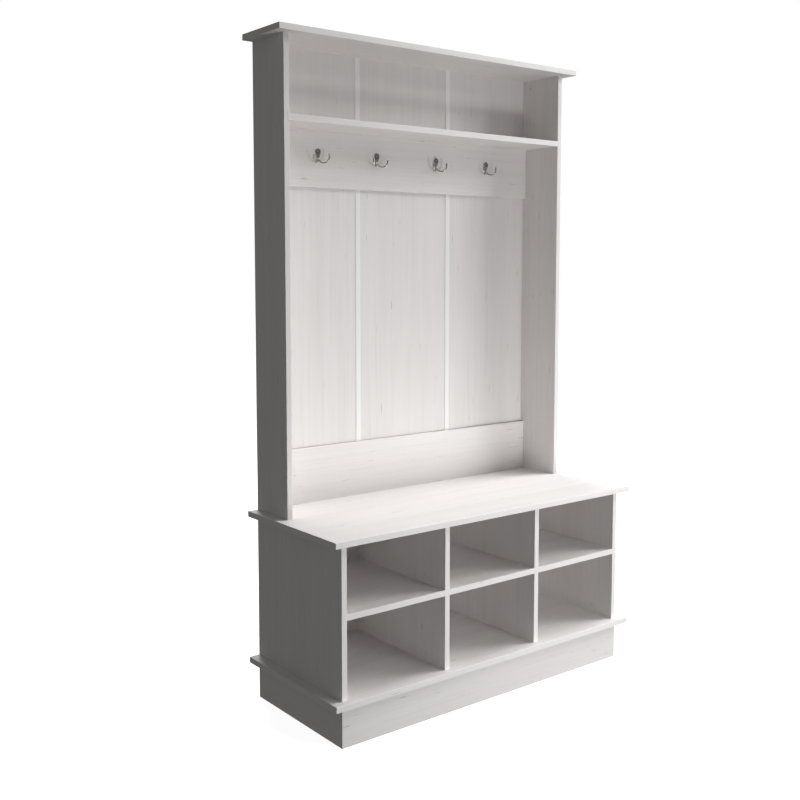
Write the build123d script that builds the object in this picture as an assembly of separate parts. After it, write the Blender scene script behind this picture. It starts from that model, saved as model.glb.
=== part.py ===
from build123d import *
import os

# A hall tree: a shoe cabinet with a bench top on a plinth, and a shallow hutch with coat hooks above it.
# X runs across the front, Y from front to rear and Z up from the floor. All sizes are in millimetres.

# overall sizes
total_height = 1830
cabinet_width = 1030
cabinet_depth = 410
hutch_depth = 158

# boards
board_thickness = 16
rail_thickness = 12
back_thickness = 3
arris_radius = 0.6

# heights of the spaces, from the floor up
plinth_height = 107
lower_cubby_height = 205
upper_cubby_height = 178
rail_height = 158
hat_space_height = 205

# how far the flat boards stand out
side_overhang = 31
front_overhang = 21
top_front_overhang = 32

# plastic strips that join the thin back panels
strip_width = 16
strip_flange = 1.2
strip_web = 1.4
strip_slot_clearance = 0.1
rear_gap = 0.3

# cam locks: a housing in the face of one board draws in a bolt screwed into the other
cam_offset = 24
cam_radius = 7.5
cam_past_centre = 4.5
cam_clearance = 0.1
cam_slot_half_width = 3.8
cam_slot_back = 4.5
cam_cross_length = 7
cam_cross_width = 1.4
cam_cross_depth = 1.8
bolt_thread_radius = 2.9
bolt_thread_depth = 11
bolt_body_radius = 3.4
bolt_body_end_gap = 0.3
bolt_neck_radius = 1.8
bolt_head_radius = 3.2
bolt_head_half_length = 2
bolt_bore_radius = 4
cabinet_cam_inset = 81
hutch_cam_inset = 32
plinth_cam_end_inset = 215

# long countersunk screws, driven up through the bench top into the hutch sides
hutch_screw_length = 50
hutch_screw_recess = 0.2
hutch_screw_head_radius = 5
hutch_screw_head_depth = 3
hutch_screw_collar_radius = 3.5
hutch_screw_core_radius = 2.5
hutch_screw_socket_radius = 2.3
hutch_screw_socket_depth = 2.5
hutch_screw_front_inset = 20

# beech dowels
dowel_radius = 4
dowel_length = 30
dowel_face_depth = 10.5
dowel_chamfer = 0.8
dowel_clearance = 0.05
dowel_end_room = 0.5
cabinet_dowel_inset = 40
plinth_dowel_end_inset = 65
plinth_dowel_middle_offset = 100
plinth_corner_dowel_z = 27
rail_dowel_radius = 3
rail_dowel_length = 25
rail_dowel_face_depth = 10
rail_dowel_inset = 30

# nails that hold the thin back panels
nail_radius = 0.7
nail_length = 18
nail_head_radius = 1.9
nail_head_thickness = 0.6
nail_clearance = 0.05
nail_edge_inset = 40
hutch_side_nails = 8
cabinet_upright_nails = 3

# double-prong coat hooks
hook_inner_spacing = 226
hook_outer_spacing = 206
hook_drop = 49.5
plate_top_radius = 9
plate_foot_radius = 3.6
plate_height = 31
plate_thickness = 3.2
plate_edge_radius = 1
prong_radius = 2.1
prong_half_span = 26
prong_projection = 20
prong_low_reach = 16
prong_low_drop = 40
prong_tip_drop = 18
tip_radius = 2.8

# countersunk screws of the hooks
hook_screw_drops = (7.5, 19.5)
screw_shank_radius = 1.6
screw_head_radius = 3.2
screw_head_depth = 1.6
screw_clearance = 0.1
screw_point_wood = 2.5
screw_cross_length = 3.6
screw_cross_width = 0.7
screw_cross_depth = 1

# planes that the boards share, with the origin on the floor below the middle of the whole
half_width = cabinet_width / 2
half_total_width = half_width + side_overhang
front_y = (front_overhang - cabinet_depth - strip_flange) / 2
rear_y = front_y + cabinet_depth
panel_y = rear_y - back_thickness
hutch_front_y = rear_y - hutch_depth
lining_y = panel_y - strip_flange - rear_gap
rail_y = lining_y - rail_thickness
base_z = plinth_height
cubby_floor_z = base_z + board_thickness
shelf_z = cubby_floor_z + lower_cubby_height
shelf_top_z = shelf_z + board_thickness
bench_z = shelf_top_z + upper_cubby_height
bench_top_z = bench_z + board_thickness
top_z = total_height - board_thickness
hat_shelf_top_z = top_z - hat_space_height
hat_shelf_z = hat_shelf_top_z - board_thickness
half_board = board_thickness / 2
cubby_width = (cabinet_width - 4 * board_thickness) / 3

blanks = {}
cutters = {}


def block(x0, x1, y0, y1, z0, z1):
    """A box between two corners."""
    return Pos(x0, y0, z0) * Box(x1 - x0, y1 - y0, z1 - z0, align=(Align.MIN, Align.MIN, Align.MIN))


def add_board(name, x0, x1, y0, y1, z0, z1):
    """A board or rail with its arrises eased."""
    blanks[name] = fillet(block(x0, x1, y0, y1, z0, z1).edges(), arris_radius)
    cutters[name] = []


def add_panel(name, x0, x1, y0, y1, z0, z1):
    """A thin back panel, square-edged."""
    blanks[name] = block(x0, x1, y0, y1, z0, z1)
    cutters[name] = []


def rod(radius, z0, z1):
    """A round bar along the local Z axis."""
    return Pos(0, 0, z0) * Cylinder(radius, z1 - z0, align=(Align.CENTER, Align.CENTER, Align.MIN))


# the plinth: front and rear boards run full width, the sides and the brace stand between them
plinth_inner_front = front_y + board_thickness
plinth_inner_rear = rear_y - board_thickness
add_board("plinth_front", -half_width, half_width, front_y, plinth_inner_front, 0, base_z)
add_board("plinth_rear", -half_width, half_width, plinth_inner_rear, rear_y, 0, base_z)
plinth_ribs = {
    "plinth_side_left": -half_width + half_board,
    "plinth_brace": 0,
    "plinth_side_right": half_width - half_board,
}
for name, x in plinth_ribs.items():
    add_board(name, x - half_board, x + half_board, plinth_inner_front, plinth_inner_rear, 0, base_z)

# the cabinet: base plate, four uprights, three shelves and the bench top
flat_front_y = front_y - front_overhang
add_board("base_plate", -half_total_width, half_total_width, flat_front_y, rear_y, base_z, cubby_floor_z)
add_board("bench_top", -half_total_width, half_total_width, flat_front_y, rear_y, bench_z, bench_top_z)
upright_pitch = cubby_width + board_thickness
upright_names = ("cabinet_side_left", "cabinet_divider_left", "cabinet_divider_right", "cabinet_side_right")
upright_x = {}
for i, name in enumerate(upright_names):
    x = -half_width + half_board + i * upright_pitch
    upright_x[name] = x
    add_board(name, x - half_board, x + half_board, front_y, panel_y, cubby_floor_z, bench_z)
shelf_names = ("cubby_shelf_left", "cubby_shelf_middle", "cubby_shelf_right")
for i, name in enumerate(shelf_names):
    x = -half_width + board_thickness + i * upright_pitch
    add_board(name, x, x + cubby_width, front_y, panel_y, shelf_z, shelf_top_z)
add_panel("cabinet_back_panel", -half_width, half_width, panel_y, rear_y, cubby_floor_z, bench_z)

# the hutch: two sides, the hat shelf, the two rails and the top board
hutch_side_x = {"hutch_side_left": -half_width + half_board, "hutch_side_right": half_width - half_board}
for name, x in hutch_side_x.items():
    add_board(name, x - half_board, x + half_board, hutch_front_y, panel_y, bench_top_z, top_z)
inner_x = half_width - board_thickness
add_board("hat_shelf", -inner_x, inner_x, hutch_front_y, lining_y, hat_shelf_z, hat_shelf_top_z)
rail_z = {"hook_rail": hat_shelf_z - rail_height, "lower_rail": bench_top_z}
for name, z in rail_z.items():
    add_board(name, -inner_x, inner_x, rail_y, lining_y, z, z + rail_height)
top_front_y = hutch_front_y - top_front_overhang
add_board("top_board", -half_total_width, half_total_width, top_front_y, rear_y, top_z, total_height)

# three thin panels close the hutch, and an H-shaped strip covers each joint between them
panel_width = cabinet_width / 3
panel_edge = strip_web / 2 + strip_slot_clearance
panel_names = ("hutch_back_panel_left", "hutch_back_panel_middle", "hutch_back_panel_right")
for i, name in enumerate(panel_names):
    x0 = -half_width + i * panel_width + (panel_edge if i > 0 else 0)
    x1 = -half_width + (i + 1) * panel_width - (panel_edge if i < 2 else 0)
    add_panel(name, x0, x1, panel_y, rear_y, bench_top_z, top_z)
strip_x = {"back_joint_strip_left": -panel_width / 2, "back_joint_strip_right": panel_width / 2}
strip_slot = strip_width / 2 - strip_web / 2
for name, x in strip_x.items():
    strip = block(x - strip_width / 2, x + strip_width / 2, panel_y - strip_flange, rear_y + strip_flange,
                  bench_top_z, top_z)
    for x0 in (x - strip_width / 2, x + strip_web / 2):
        strip -= block(x0, x0 + strip_slot, panel_y, rear_y, bench_top_z, top_z)
    blanks[name] = strip
    cutters[name] = []


# one cam lock, drawn with the joint at z = 0, the drilled edge towards +Z and the cam's open face at +X
cam_seat_radius = cam_radius + cam_clearance
cam_body = Rot(0, 90, 0) * rod(cam_radius, -cam_past_centre, half_board)
cam_body -= block(-cam_past_centre, cam_slot_half_width, -cam_slot_half_width, cam_slot_half_width,
                  -cam_radius, cam_slot_back)
for angle in (0, 90):
    cross = Box(2 * cam_cross_depth, cam_cross_width, cam_cross_length)
    cam_body -= Pos(half_board, 0, 0) * Rot(angle, 0, 0) * cross
cam_shape = Pos(0, 0, cam_offset) * cam_body
cam_pocket = Pos(0, 0, cam_offset) * Rot(0, 90, 0) * rod(cam_seat_radius, -cam_past_centre - cam_clearance,
                                                         half_board + cam_clearance)
bolt_body_end = cam_offset - cam_radius - bolt_body_end_gap
bolt_shape = rod(bolt_thread_radius, -bolt_thread_depth, 0) + rod(bolt_body_radius, 0, bolt_body_end)
bolt_shape += rod(bolt_neck_radius, bolt_body_end, cam_offset)
bolt_shape += rod(bolt_head_radius, cam_offset - bolt_head_half_length, cam_offset + bolt_head_half_length)
bolt_bore = rod(bolt_bore_radius, 0, cam_offset)
thread_bore = rod(bolt_thread_radius + cam_clearance, -bolt_thread_depth - cam_clearance, 0)
cam_locks = []
cam_bolts = []


def cam_joint(face_board, edge_board, point, into, face):
    """Joins one board's edge to another's face: into points along the bolt, face out of the open cam."""
    frame = Plane(origin=point, x_dir=face, z_dir=into).location
    cam_locks.append(frame * cam_shape)
    cam_bolts.append(frame * bolt_shape)
    cutters[edge_board] += [frame * cam_pocket, frame * bolt_bore]
    cutters[face_board].append(frame * thread_bore)


def dowel(radius, z0, z1):
    """A dowel with chamfered ends along the local Z axis."""
    pin = rod(radius, z0, z1)
    return chamfer(pin.edges().filter_by(GeomType.CIRCLE), dowel_chamfer)


def dowel_joint(group, boards, point, into, radius, back, ahead):
    """A dowel through the joint at point, reaching back into the first board and ahead into the others."""
    frame = Plane(origin=point, z_dir=into).location
    group.append(frame * dowel(radius, -back, ahead))
    bore = frame * rod(radius + dowel_clearance, -back - dowel_end_room, ahead + dowel_end_room)
    for name in boards:
        cutters[name].append(bore)


wood_dowels = []
shelf_dowels = []
rail_dowels = []
dowel_edge_depth = dowel_length - dowel_face_depth
up = (0, 0, 1)
down = (0, 0, -1)
left = (-1, 0, 0)
right = (1, 0, 0)
forward = (0, -1, 0)
backward = (0, 1, 0)

# cabinet uprights to the base plate and the bench top; the cams of each pair of uprights face outwards
upright_cam_face = dict(zip(upright_names, (right, left, right, left)))
for name, x in upright_x.items():
    for board, z, into in (("base_plate", cubby_floor_z, up), ("bench_top", bench_z, down)):
        for y in (front_y + cabinet_cam_inset, panel_y - cabinet_cam_inset):
            cam_joint(board, name, (x, y, z), into, upright_cam_face[name])
        for y in (front_y + cabinet_dowel_inset, panel_y - cabinet_dowel_inset):
            dowel_joint(wood_dowels, (board, name), (x, y, z), into, dowel_radius, dowel_face_depth,
                        dowel_edge_depth)

# cubby shelves: long dowels run through the dividers, short ones stop inside the outer sides
shelf_mid_z = shelf_z + half_board
shelf_dowel_y = (front_y + cabinet_dowel_inset, panel_y - cabinet_dowel_inset)
for y in shelf_dowel_y:
    dowel_joint(wood_dowels, ("cabinet_side_left", "cubby_shelf_left"), (-inner_x, y, shelf_mid_z), right,
                dowel_radius, dowel_face_depth, dowel_edge_depth)
    dowel_joint(wood_dowels, ("cabinet_side_right", "cubby_shelf_right"), (inner_x, y, shelf_mid_z), left,
                dowel_radius, dowel_face_depth, dowel_edge_depth)
    for i, name in enumerate(upright_names[1:3]):
        boards = (shelf_names[i], name, shelf_names[i + 1])
        reach = half_board + dowel_edge_depth
        middle = (upright_x[name], y, shelf_mid_z)
        dowel_joint(shelf_dowels, boards, middle, right, dowel_radius, reach, reach)

# one long screw, drawn with the bench top's underside at z = 0 and its point towards +Z
head_end = hutch_screw_recess + hutch_screw_head_depth
screw_end = hutch_screw_recess + hutch_screw_length


def long_screw(gap, start, end):
    """The screw's outline grown by a gap all round, from its head at start to its point at end."""
    head = Cone(hutch_screw_head_radius + gap, hutch_screw_collar_radius + gap, hutch_screw_head_depth)
    outline = Pos(0, 0, head_end - hutch_screw_head_depth / 2) * head
    if start < hutch_screw_recess:
        outline += rod(hutch_screw_head_radius + gap, start, hutch_screw_recess)
    outline += rod(hutch_screw_collar_radius + gap, head_end, board_thickness)
    return outline + rod(hutch_screw_core_radius + gap, board_thickness, end)


socket_outline = RegularPolygon(hutch_screw_socket_radius, 6)
socket = extrude(socket_outline, hutch_screw_recess + hutch_screw_socket_depth)
hutch_screw_shape = long_screw(0, hutch_screw_recess, screw_end) - socket
hutch_screw_bore = long_screw(screw_clearance, 0, screw_end + screw_clearance)
hutch_screws = []

# hutch sides to the bench top and the top board, and the hat shelf between them
hutch_cam_y = panel_y - hutch_cam_inset
hutch_screw_rear_inset = (cabinet_cam_inset + cabinet_dowel_inset) / 2
hutch_screw_y = (hutch_front_y + hutch_screw_front_inset, panel_y - hutch_screw_rear_inset)
hutch_dowel_y = hutch_front_y + cabinet_dowel_inset
hutch_cam_face = {"hutch_side_left": right, "hutch_side_right": left}
hat_shelf_mid_z = hat_shelf_z + half_board
for name, x in hutch_side_x.items():
    cam_joint("top_board", name, (x, hutch_cam_y, top_z), down, hutch_cam_face[name])
    for y in hutch_screw_y:
        hutch_screws.append(Pos(x, y, bench_z) * hutch_screw_shape)
        for board in ("bench_top", name):
            cutters[board].append(Pos(x, y, bench_z) * hutch_screw_bore)
    for board, z, into in (("bench_top", bench_top_z, up), ("top_board", top_z, down)):
        dowel_joint(wood_dowels, (board, name), (x, hutch_dowel_y, z), into, dowel_radius, dowel_face_depth,
                    dowel_edge_depth)
    inward = hutch_cam_face[name]
    face_x = x + half_board * inward[0]
    cam_joint(name, "hat_shelf", (face_x, hutch_cam_y, hat_shelf_mid_z), inward, up)
    dowel_joint(wood_dowels, (name, "hat_shelf"), (face_x, hutch_dowel_y, hat_shelf_mid_z), inward,
                dowel_radius, dowel_face_depth, dowel_edge_depth)
    for rail, z in rail_z.items():
        for dowel_z in (z + rail_dowel_inset, z + rail_height - rail_dowel_inset):
            dowel_joint(rail_dowels, (name, rail), (face_x, rail_y + rail_thickness / 2, dowel_z), inward,
                        rail_dowel_radius, rail_dowel_face_depth, rail_dowel_length - rail_dowel_face_depth)

# plinth boards to each other and to the base plate
plinth_mid_z = plinth_height / 2
plinth_cam_x = half_width - plinth_cam_end_inset
plinth_dowel_x = (plinth_dowel_middle_offset, half_width - plinth_dowel_end_inset)
plinth_long_boards = {
    "plinth_front": (plinth_inner_front, backward, front_y + half_board),
    "plinth_rear": (plinth_inner_rear, forward, rear_y - half_board),
}
plinth_cam_face = {"plinth_side_left": right, "plinth_side_right": left}
for board, (inner_y, into, mid_y) in plinth_long_boards.items():
    for rib, x in plinth_ribs.items():
        for z in (plinth_corner_dowel_z, plinth_height - plinth_corner_dowel_z):
            dowel_joint(wood_dowels, (board, rib), (x, inner_y, z), into, dowel_radius, dowel_face_depth,
                        dowel_edge_depth)
    for rib, face in plinth_cam_face.items():
        cam_joint(board, rib, (plinth_ribs[rib], inner_y, plinth_mid_z), into, face)
    for side in (-1, 1):
        cam_joint("base_plate", board, (side * plinth_cam_x, mid_y, base_z), down, into)
        for x in plinth_dowel_x:
            dowel_joint(wood_dowels, ("base_plate", board), (side * x, mid_y, base_z), down, dowel_radius,
                        dowel_face_depth, dowel_edge_depth)

# nails through the back panels into the edges behind which they lie
back_panel_nails = []
nail_shape = rod(nail_head_radius, 0, nail_head_thickness) + rod(nail_radius, -nail_length, 0)
nail_bore = rod(nail_radius + nail_clearance, -nail_length - nail_clearance, 0)


def nail(panel, board, x, z):
    """A nail driven forwards through a panel into a board's rear edge."""
    frame = Plane(origin=(x, rear_y, z), z_dir=backward).location
    back_panel_nails.append(frame * nail_shape)
    cutters[panel].append(frame * nail_bore)
    cutters[board].append(frame * nail_bore)


def spread(low, high, count):
    """Evenly spaced places from low to high."""
    return [low + i * (high - low) / (count - 1) for i in range(count)]


for name, x in upright_x.items():
    for z in spread(cubby_floor_z + nail_edge_inset, bench_z - nail_edge_inset, cabinet_upright_nails):
        if abs(z - shelf_mid_z) > board_thickness:
            nail("cabinet_back_panel", name, x, z)
for i, name in enumerate(shelf_names):
    x0 = -half_width + board_thickness + i * upright_pitch
    for x in (x0 + nail_edge_inset, x0 + cubby_width - nail_edge_inset):
        nail("cabinet_back_panel", name, x, shelf_mid_z)
for side, panel in (("hutch_side_left", panel_names[0]), ("hutch_side_right", panel_names[2])):
    for z in spread(bench_top_z + nail_edge_inset, top_z - nail_edge_inset, hutch_side_nails):
        nail(panel, side, hutch_side_x[side], z)
lining_z = {"hat_shelf": hat_shelf_mid_z}
for name, z in rail_z.items():
    lining_z[name] = z + rail_height / 2
for name, z in lining_z.items():
    for i, panel in enumerate(panel_names):
        middle_x = (i - 1) * panel_width
        for side in (-1, 1):
            nail(panel, name, middle_x + side * (panel_width / 2 - nail_edge_inset), z)

# one coat hook, drawn with the rail's face at y = 0, its prongs towards -Y and the plate's top at z = 0
plate_top = Pos(0, -plate_top_radius) * Circle(plate_top_radius)
plate_foot = Pos(0, plate_foot_radius - plate_height) * Circle(plate_foot_radius)
plate_outline = make_hull(plate_top.edges() + plate_foot.edges())
plate = extrude(Plane.XZ * plate_outline, plate_thickness)
plate = fillet(plate.faces().sort_by(Axis.Y)[0].edges(), plate_edge_radius)
prong_root_y = -plate_thickness / 2
prong_root_z = plate_foot_radius - plate_height
prong_forward = prong_projection + prong_root_y
prong_reach = (prong_forward ** 2 + prong_half_span ** 2) ** 0.5
prong_plane = Plane(origin=(0, prong_root_y, 0), x_dir=(prong_half_span, -prong_forward, 0),
                    z_dir=(-prong_forward, -prong_half_span, 0))
prong_turn_radius = prong_reach - prong_low_reach
root = (0, prong_root_z)
low = (prong_low_reach, -prong_low_drop)
turn_end = (prong_reach, -prong_low_drop + prong_turn_radius)
tip = (prong_reach, -prong_tip_drop)
prong_arcs = TangentArc(low, root, tangent=(-1, 0)) + TangentArc(low, turn_end, tangent=(1, 0))
prong_path = prong_plane * Wire((prong_arcs + Line(turn_end, tip)).edges())
prong_end = prong_plane.from_local_coords(Vector(*tip))
prong = sweep(Plane(origin=prong_end, z_dir=down) * Circle(prong_radius), path=prong_path)
prong += Pos(prong_end) * Sphere(tip_radius)
hook_shape = plate + prong + mirror(prong, about=Plane.YZ)
hook_shape += Pos(0, prong_root_y, prong_root_z) * Sphere(plate_foot_radius)
hook_shape -= block(-prong_half_span, prong_half_span, 0, plate_foot_radius, -plate_height, 0)

# one countersunk screw along local -Z from the plate's front face
screw_bite = plate_thickness + rail_thickness - screw_point_wood
screw_cone = Cone(screw_shank_radius, screw_head_radius, screw_head_depth)
screw_shape = Pos(0, 0, -screw_head_depth / 2) * screw_cone
screw_shape += rod(screw_shank_radius, -screw_bite, -screw_head_depth)
for angle in (0, 90):
    screw_shape -= Rot(0, 0, angle) * Box(screw_cross_length, screw_cross_width, 2 * screw_cross_depth)
screw_seat = Pos(0, 0, -screw_head_depth / 2) * Cone(screw_shank_radius + screw_clearance,
                                                     screw_head_radius + screw_clearance, screw_head_depth)
screw_bore = rod(screw_shank_radius + screw_clearance, -screw_bite - screw_clearance, 0)
hook_screws = []
screw_frames = []
for drop in hook_screw_drops:
    screw_frames.append(Plane(origin=(0, -plate_thickness, -drop), z_dir=forward).location)
for frame in screw_frames:
    hook_shape -= frame * screw_seat
    hook_shape -= frame * screw_bore

hook_z = hat_shelf_z - hook_drop
hook_x = (-hook_inner_spacing / 2 - hook_outer_spacing, -hook_inner_spacing / 2, hook_inner_spacing / 2,
          hook_inner_spacing / 2 + hook_outer_spacing)
hooks = {}
for i, x in enumerate(hook_x):
    place = Pos(x, rail_y, hook_z)
    hooks[f"coat_hook_{i + 1}"] = place * hook_shape
    for frame in screw_frames:
        hook_screws.append(place * frame * screw_shape)
        cutters["hook_rail"].append(place * frame * screw_bore)

# drill the boards, then write one file for each piece or group of fasteners
pieces = {}
for name, blank in blanks.items():
    pieces[name] = blank - cutters[name] if cutters[name] else blank
pieces.update(hooks)
groups = {
    "cam_locks": cam_locks,
    "cam_bolts": cam_bolts,
    "wood_dowels": wood_dowels,
    "shelf_dowels": shelf_dowels,
    "rail_dowels": rail_dowels,
    "hutch_screws": hutch_screws,
    "hook_screws": hook_screws,
    "back_panel_nails": back_panel_nails,
}
for name, solids in groups.items():
    pieces[name] = Compound(children=[solid for part in solids for solid in part.solids()])
os.makedirs("parts", exist_ok=True)
for name, piece in pieces.items():
    export_step(piece, f"parts/{name}.step")
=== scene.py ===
import math
import bpy
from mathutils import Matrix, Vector


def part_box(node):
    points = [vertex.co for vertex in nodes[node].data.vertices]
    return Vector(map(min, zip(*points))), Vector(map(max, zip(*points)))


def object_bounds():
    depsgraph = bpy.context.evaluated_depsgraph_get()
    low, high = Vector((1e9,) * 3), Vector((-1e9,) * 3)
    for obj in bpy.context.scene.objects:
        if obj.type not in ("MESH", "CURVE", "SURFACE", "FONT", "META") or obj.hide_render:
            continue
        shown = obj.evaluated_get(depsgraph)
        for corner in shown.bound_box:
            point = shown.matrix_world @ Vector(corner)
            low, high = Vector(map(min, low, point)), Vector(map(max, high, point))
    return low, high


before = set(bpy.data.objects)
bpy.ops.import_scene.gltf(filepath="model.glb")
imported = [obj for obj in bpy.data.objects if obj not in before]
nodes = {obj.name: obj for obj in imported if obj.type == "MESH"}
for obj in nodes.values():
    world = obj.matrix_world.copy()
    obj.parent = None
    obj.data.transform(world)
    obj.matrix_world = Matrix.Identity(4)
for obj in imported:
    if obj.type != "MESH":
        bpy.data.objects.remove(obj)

mm = 0.001
cadLow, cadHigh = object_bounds()
print("frame loaded:", len(nodes), "nodes")


def linear(hexColour):
    # sRGB hex to the linear values that a shader reads
    values = [int(hexColour[i:i + 2], 16) / 255 for i in (0, 2, 4)]
    return [v / 12.92 if v <= 0.04045 else ((v + 0.055) / 1.055) ** 2.4 for v in values] + [1.0]


def addNode(tree, kind, inputs=None, stops=(), **settings):
    # one node: its settings, its ramp stops, and its inputs filled or linked
    node = tree.nodes.new(kind)
    for name, value in settings.items():
        setattr(node, name, value)
    for index, (place, tone) in enumerate(stops):
        elements = node.color_ramp.elements
        element = elements[index] if index < 2 else elements.new(place)
        element.position = place
        element.color = tone
    for name, value in (inputs or {}).items():
        if isinstance(value, bpy.types.NodeSocket):
            tree.links.new(value, node.inputs[name])
        else:
            node.inputs[name].default_value = value
    return node


def newMaterial(name):
    material = bpy.data.materials.new(name)
    material.use_nodes = True
    material.node_tree.nodes.clear()
    return material


def finishMaterial(material, shaderInputs):
    tree = material.node_tree
    shader = addNode(tree, "ShaderNodeBsdfPrincipled", shaderInputs)
    addNode(tree, "ShaderNodeOutputMaterial", {"Surface": shader.outputs["BSDF"]})
    return material


def dress(nodeName, material):
    mesh = nodes[nodeName].data
    mesh.materials.clear()
    mesh.materials.append(material)


# White-washed woodgrain paper, pressed on chipboard with melamine resin. Matte and nearly white,
# with soft bands and fine lines along the grain and a few darker pores.
# Each layer has its tone, its mm across and along the grain, and the noise values where it
# starts and where it is full.
laminate = {
    "base": "ebe8e7",
    "layers": {
        "cloud": {"tone": "e1dedc", "across": 60.0, "along": 900.0, "detail": 2.0,
                  "start": 0.38, "full": 0.72, "amount": 0.50},
        "band": {"tone": "d8d4d2", "across": 14.0, "along": 620.0, "detail": 3.0,
                 "start": 0.50, "full": 0.74, "amount": 0.22},
        "line": {"tone": "c9c4c1", "across": 3.4, "along": 260.0, "detail": 3.0,
                 "start": 0.50, "full": 0.80, "amount": 0.22},
        # real pores are about 0.3 mm wide, drawn wider so that they show
        "pore": {"tone": "968e89", "across": 3.6, "along": 62.0, "detail": 1.0,
                 "start": 0.735, "full": 0.80, "amount": 0.60},
    },
    "edge": "fbfaf9",        # painted highlight: the banding is drawn whiter along the arrises, as if light caught them
    "edgeWidth": 1.2,        # mm
    "edgeFull": 0.2,         # the share of that width that has the full painted highlight
    "edgeAmount": 0.6,
    "roughness": (0.60, 0.72),
    "bump": 0.10,
    "bumpDepth": 0.12,       # mm
    "seedStep": 7.3,         # keeps each board's figure different
    "layerStep": 2.3,        # keeps a board's layers from lying on each other
    "offsetSlant": (1.0, 0.7, 1.3),
    "noiseRoughness": 0.55,
    "endFace": 0.8,          # how squarely a face must look along the grain to be an end
}

# The unprinted rear of the thin panels: raw hardboard, pale brown with a felted fibre.
hardboard = {
    "base": "c9b79c",
    "fibre": "a8926f",
    "fibreSize": 5.0,        # mm
    "detail": 5.0,
    "twist": 1.5,
    "start": 0.35,
    "full": 0.8,
    "rearFace": 0.5,         # how squarely a face must look backwards to be the rear
}

# the axis that the grain follows on each board, and the axis that it follows on the board's ends
grainPlan = {
    "plinth_front": "XZ", "plinth_rear": "XZ", "plinth_side_left": "YZ", "plinth_side_right": "YZ",
    "plinth_brace": "YZ", "base_plate": "XY", "bench_top": "XY", "top_board": "XY",
    "hat_shelf": "XY",
    "cubby_shelf_left": "XY", "cubby_shelf_middle": "XY", "cubby_shelf_right": "XY",
    "hook_rail": "XZ", "lower_rail": "XZ",
    "cabinet_side_left": "ZY", "cabinet_side_right": "ZY", "cabinet_divider_left": "ZY",
    "cabinet_divider_right": "ZY", "hutch_side_left": "ZY", "hutch_side_right": "ZY",
    "cabinet_back_panel": "ZX", "hutch_back_panel_left": "ZX", "hutch_back_panel_middle": "ZX",
    "hutch_back_panel_right": "ZX",
}
thinPanels = (
    "cabinet_back_panel", "hutch_back_panel_left", "hutch_back_panel_middle",
    "hutch_back_panel_right",
)


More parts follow.
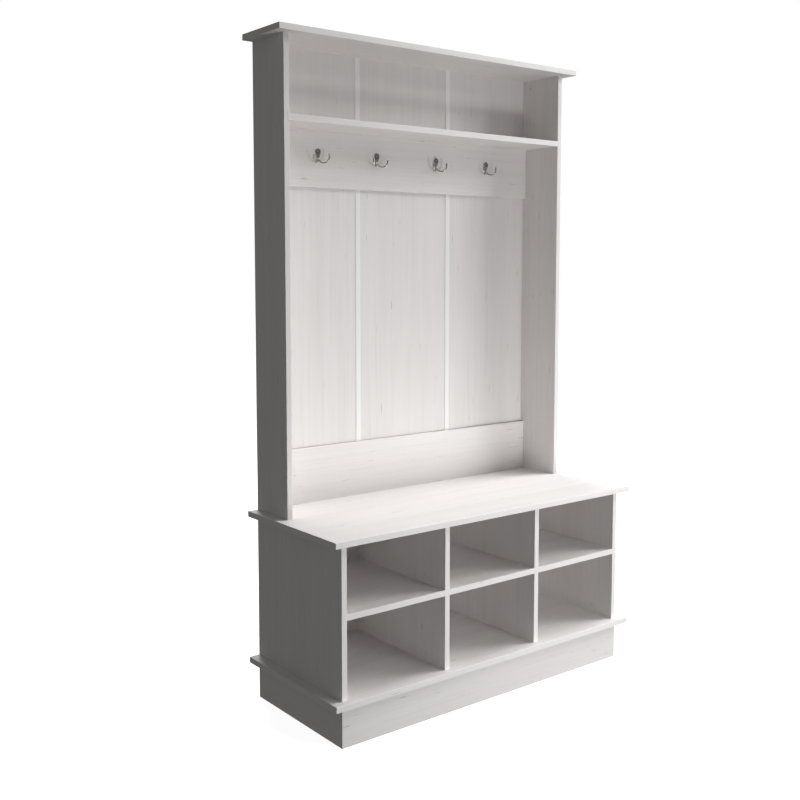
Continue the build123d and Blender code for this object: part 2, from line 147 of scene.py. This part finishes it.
def laminateFor(nodeName, grainAxis, endAxis, seed):
    material = newMaterial("white-washed laminate " + nodeName)
    tree = material.node_tree
    coordinates = addNode(tree, "ShaderNodeTexCoord")
    place = coordinates.outputs["Object"]
    facing = addNode(tree, "ShaderNodeSeparateXYZ", {0: coordinates.outputs["Normal"]})
    square = addNode(tree, "ShaderNodeMath", {0: facing.outputs[grainAxis]},
                     operation="ABSOLUTE").outputs[0]
    isEnd = addNode(tree, "ShaderNodeMath", {0: square, 1: laminate["endFace"]},
                    operation="GREATER_THAN").outputs[0]

    colour = linear(laminate["base"])
    masks = {}
    for step, (name, layer) in enumerate(laminate["layers"].items()):
        # one noise unit is one streak: squeezed across the grain, drawn out along it
        grains = []
        for axis in (grainAxis, endAxis):
            scale = [1 / (layer["across"] * mm)] * 3
            scale["XYZ".index(axis)] = 1 / (layer["along"] * mm)
            offset = seed * laminate["seedStep"] + laminate["layerStep"] * step
            location = [slant * offset for slant in laminate["offsetSlant"]]
            grains.append(addNode(tree, "ShaderNodeMapping", {
                "Vector": place, "Scale": scale, "Location": location}).outputs[0])
        # a vector mix takes 0 as its factor, 4 and 5 as its two sides
        grain = addNode(tree, "ShaderNodeMix", {0: isEnd, 4: grains[0], 5: grains[1]},
                        data_type="VECTOR").outputs[1]
        noise = addNode(tree, "ShaderNodeTexNoise", {
            "Vector": grain, "Scale": 1.0, "Detail": layer["detail"],
            "Roughness": laminate["noiseRoughness"]}).outputs[0]
        amount = layer["amount"]
        masks[name] = addNode(tree, "ShaderNodeValToRGB", {"Fac": noise}, stops=(
            (layer["start"], (0, 0, 0, 1)),
            (layer["full"], (amount, amount, amount, 1)))).outputs["Color"]
        # a colour mix takes 0 as its factor, 6 and 7 as its two sides
        colour = addNode(tree, "ShaderNodeMix", {
            0: masks[name], 6: colour, 7: linear(layer["tone"])}, data_type="RGBA").outputs[2]

    # how far a point lies inside each pair of faces; the middle of the three tells how near an
    # arris is, and there a painted highlight whitens the colour
    low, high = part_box(nodeName)
    fromCentre = addNode(tree, "ShaderNodeVectorMath", {0: place, 1: (low + high) / 2},
                         operation="SUBTRACT")
    away = addNode(tree, "ShaderNodeVectorMath", {0: fromCentre.outputs[0]}, operation="ABSOLUTE")
    depth = addNode(tree, "ShaderNodeVectorMath", {0: away.outputs[0], 1: (high - low) / 2},
                    operation="SUBTRACT")
    x, y, z = addNode(tree, "ShaderNodeSeparateXYZ", {0: depth.outputs[0]}).outputs
    lesser = addNode(tree, "ShaderNodeMath", {0: x, 1: y}, operation="MINIMUM").outputs[0]
    greater = addNode(tree, "ShaderNodeMath", {0: x, 1: y}, operation="MAXIMUM").outputs[0]
    capped = addNode(tree, "ShaderNodeMath", {0: greater, 1: z}, operation="MINIMUM").outputs[0]
    middle = addNode(tree, "ShaderNodeMath", {0: lesser, 1: capped}, operation="MAXIMUM").outputs[0]
    # painted highlight: the colour turns whiter towards each arris
    paintedHighlight = addNode(tree, "ShaderNodeMapRange", {
        "Value": middle, "From Min": -laminate["edgeWidth"] * mm,
        "From Max": -laminate["edgeFull"] * laminate["edgeWidth"] * mm,
        "To Max": laminate["edgeAmount"]}, interpolation_type="SMOOTHSTEP").outputs[0]
    colour = addNode(tree, "ShaderNodeMix", {0: paintedHighlight, 6: colour, 7: linear(laminate["edge"])},
                     data_type="RGBA").outputs[2]

    if nodeName in thinPanels:
        fibre = addNode(tree, "ShaderNodeTexNoise", {
            "Vector": place, "Scale": 1 / (hardboard["fibreSize"] * mm),
            "Detail": hardboard["detail"], "Distortion": hardboard["twist"]}).outputs[0]
        felt = addNode(tree, "ShaderNodeValToRGB", {"Fac": fibre}, stops=(
            (hardboard["start"], linear(hardboard["base"])),
            (hardboard["full"], linear(hardboard["fibre"])))).outputs["Color"]
        isRear = addNode(tree, "ShaderNodeMath", {0: facing.outputs["Y"], 1: hardboard["rearFace"]},
                         operation="GREATER_THAN").outputs[0]
        colour = addNode(tree, "ShaderNodeMix", {0: isRear, 6: colour, 7: felt},
                         data_type="RGBA").outputs[2]

    least, most = laminate["roughness"]
    rough = addNode(tree, "ShaderNodeMapRange", {
        "Value": masks["line"], "To Min": least, "To Max": most}).outputs[0]
    relief = addNode(tree, "ShaderNodeMath", {0: masks["line"], 1: masks["pore"]},
                     operation="ADD").outputs[0]
    bump = addNode(tree, "ShaderNodeBump", {
        "Strength": laminate["bump"], "Distance": laminate["bumpDepth"] * mm,
        "Height": relief}, invert=True)
    return finishMaterial(material, {
        "Base Color": colour, "Roughness": rough, "Normal": bump.outputs[0]})


for seed, (nodeName, axes) in enumerate(grainPlan.items()):
    dress(nodeName, laminateFor(nodeName, axes[0], axes[1], seed))
print("laminate on", len(grainPlan), "boards and panels")


# The fittings' finishes. Each has two tones that a fine noise mottles, its grain in mm along X, Y
# and Z, and the least and most roughness.
finishes = {
    # extruded and smooth, a cleaner white than the boards, with a low gloss
    "extruded white PVC": {
        "tones": ("fdfdfc", "f6f6f4"), "grain": (6.0, 6.0, 250.0), "roughness": (0.26, 0.34),
        "bump": 0.04, "depth": 0.1, "metal": 0.0},
    # mirrors a pale room in dark and bright bands, with a faint cloud in the plating
    "nickel-plated zinc casting": {
        "tones": ("cfccca", "b9b5b2"), "grain": (2.0, 2.0, 2.0), "roughness": (0.10, 0.19),
        "bump": 0.05, "depth": 0.05, "metal": 1.0},
    # grey and grainy as it leaves the mould, with a dull sheen
    "die-cast zinc alloy": {
        "tones": ("f0f0f0", "dadbdc"), "grain": (0.8, 0.8, 0.8), "roughness": (0.48, 0.64),
        "bump": 0.15, "depth": 0.05, "metal": 1.0},
    # bluish bright plating, smooth from the drawn wire below it
    "zinc-plated steel": {
        "tones": ("ccd0d4", "aeb3b8"), "grain": (1.0, 1.0, 1.0), "roughness": (0.22, 0.36),
        "bump": 0.05, "depth": 0.05, "metal": 1.0},
    # pale pinkish brown with short dark flecks, fluted by the cutter
    "turned beech": {
        "tones": ("d9b98c", "b88c5c"), "grain": (6.0, 0.9, 0.9), "roughness": (0.60, 0.75),
        "bump": 0.20, "depth": 0.1, "metal": 0.0},
}
fittings = {
    "extruded white PVC": ("back_joint_strip_left", "back_joint_strip_right"),
    "nickel-plated zinc casting": ("coat_hook_1", "coat_hook_2", "coat_hook_3", "coat_hook_4"),
    "die-cast zinc alloy": ("cam_locks",),
    "zinc-plated steel": ("cam_bolts", "back_panel_nails", "hutch_screws", "hook_screws"),
    "turned beech": ("wood_dowels", "shelf_dowels", "rail_dowels"),
}
mottling = {"detail": 3.0, "start": 0.35, "full": 0.70}
for name, finish in finishes.items():
    material = newMaterial(name)
    tree = material.node_tree
    place = addNode(tree, "ShaderNodeTexCoord").outputs["Object"]
    drawn = addNode(tree, "ShaderNodeMapping", {
        "Vector": place, "Scale": [1 / (size * mm) for size in finish["grain"]]}).outputs[0]
    mottle = addNode(tree, "ShaderNodeTexNoise", {
        "Vector": drawn, "Scale": 1.0, "Detail": mottling["detail"]}).outputs[0]
    tones = addNode(tree, "ShaderNodeValToRGB", {"Fac": mottle}, stops=(
        (mottling["start"], linear(finish["tones"][0])),
        (mottling["full"], linear(finish["tones"][1])))).outputs["Color"]
    least, most = finish["roughness"]
    rough = addNode(tree, "ShaderNodeMapRange", {
        "Value": mottle, "To Min": least, "To Max": most}).outputs[0]
    bump = addNode(tree, "ShaderNodeBump", {
        "Strength": finish["bump"], "Distance": finish["depth"] * mm, "Height": mottle}).outputs[0]
    finishMaterial(material, {
        "Base Color": tones, "Roughness": rough, "Normal": bump, "Metallic": finish["metal"]})
    for nodeName in fittings[name]:
        dress(nodeName, material)
    print(name, "on", len(fittings[name]), "nodes")


# the studio: a white floor, a pale room, soft lights and the camera
studio = {
    "floorTone": "f6f6f6",
    "floorShade": "efefef",
    "floorSize": 40.0,
    "floorCloud": (3.0, 0.3, 0.7),   # noise scale, and where the shade starts and is full
    "floorRoughness": 0.9,
    "glowNearShaded": 0.86,        # the floor glows white, a little less round the object: a painted shade to ground it
    "glowFar": 1.0,
    "glowReach": (0.7, 2.4),  # metres from the object's middle
    "ambient": 0.135,
    "cameraPlace": (-1.9579, -2.2901, 1.2147),
    "cameraTurn": -37.83,
    "cameraTilt": 85.28,     # nearly level, so that upright edges stay nearly upright
    "lens": 46.97,
    "shiftY": -0.06,
}
mid = 0.915                  # metres, half the height of the object
# turn is degrees round from the front to the right, rise is degrees above level; the rest is in
# metres and watts
lights = {
    "keySide": {"turn": 75, "rise": 30, "distance": 4.0, "aim": mid, "size": 1.6, "power": 66},
    "keyFront": {"turn": 60, "rise": 30, "distance": 4.0, "aim": mid, "size": 1.6, "power": 44},
    "highRight": {"turn": 75, "rise": 70, "distance": 3.5, "aim": mid, "size": 0.9, "power": 64},
    "front": {"turn": 15, "rise": 40, "distance": 4.0, "aim": mid, "size": 1.6, "power": 9},
    "cabinetFront": {"turn": 12, "rise": 0.0, "distance": 1.8, "aim": 0.3, "size": 0.55,
                     "power": 15.5},
    "cabinetRight": {"turn": 65, "rise": 1.5, "distance": 1.9, "aim": 0.4, "size": 0.7, "power": 5},
    "rear": {"turn": 160, "rise": 25, "distance": 4.0, "aim": mid, "size": 2.0, "power": 80},
}

bpy.ops.object.select_all(action="DESELECT")
bpy.ops.mesh.primitive_plane_add(size=studio["floorSize"], location=(0, 0, cadLow.z))
floor = bpy.context.object
floor.name = "floor"
floor.visible_diffuse = False
floor.visible_glossy = False
floor.visible_shadow = False
floorMaterial = newMaterial("plain white floor")
tree = floorMaterial.node_tree
place = addNode(tree, "ShaderNodeTexCoord").outputs["Object"]
cloudScale, cloudStart, cloudFull = studio["floorCloud"]
cloud = addNode(tree, "ShaderNodeTexNoise", {"Vector": place, "Scale": cloudScale}).outputs[0]
tones = addNode(tree, "ShaderNodeValToRGB", {"Fac": cloud}, stops=(
    (cloudStart, linear(studio["floorTone"])),
    (cloudFull, linear(studio["floorShade"])))).outputs["Color"]
away = addNode(tree, "ShaderNodeVectorMath", {0: place}, operation="LENGTH").outputs["Value"]
# painted shade: the floor's glow dims towards the object's middle
glowWithShade = addNode(tree, "ShaderNodeMapRange", {
    "Value": away, "From Min": studio["glowReach"][0], "From Max": studio["glowReach"][1],
    "To Min": studio["glowNearShaded"], "To Max": studio["glowFar"]},
    interpolation_type="SMOOTHSTEP").outputs[0]
finishMaterial(floorMaterial, {
    "Base Color": tones, "Roughness": studio["floorRoughness"],
    "Emission Color": (1, 1, 1, 1), "Emission Strength": glowWithShade})
floor.data.materials.append(floorMaterial)

world = bpy.data.worlds.new("pale room")
bpy.context.scene.world = world
world.use_nodes = True
tree = world.node_tree
tree.nodes.clear()
seen = addNode(tree, "ShaderNodeLightPath").outputs["Is Camera Ray"]
# the room looks white to the camera and lights the object with the ambient share alone
strength = addNode(tree, "ShaderNodeMapRange", {
    "Value": seen, "To Min": studio["ambient"], "To Max": 1.0}).outputs[0]
backdrop = addNode(tree, "ShaderNodeBackground", {"Color": (1, 1, 1, 1), "Strength": strength})
addNode(tree, "ShaderNodeOutputWorld", {"Surface": backdrop.outputs[0]})

for name, light in lights.items():
    turn, rise = math.radians(light["turn"]), math.radians(light["rise"])
    back = Vector((
        math.sin(turn) * math.cos(rise), -math.cos(turn) * math.cos(rise), math.sin(rise)))
    bpy.ops.object.light_add(type="AREA",
                             location=Vector((0, 0, light["aim"])) + back * light["distance"],
                             rotation=back.to_track_quat("Z", "Y").to_euler())
    lamp = bpy.context.object
    lamp.name = name
    lamp.data.shape = "DISK"
    lamp.data.size = light["size"]
    lamp.data.energy = light["power"]

tilt, turn = math.radians(studio["cameraTilt"]), math.radians(studio["cameraTurn"])
bpy.ops.object.camera_add(location=studio["cameraPlace"], rotation=(tilt, 0, turn))
camera = bpy.context.object
camera.data.lens = studio["lens"]
camera.data.shift_y = studio["shiftY"]
bpy.context.scene.camera = camera
bpy.context.scene.view_settings.view_transform = "Standard"
print("studio ready:", len(lights), "lights")
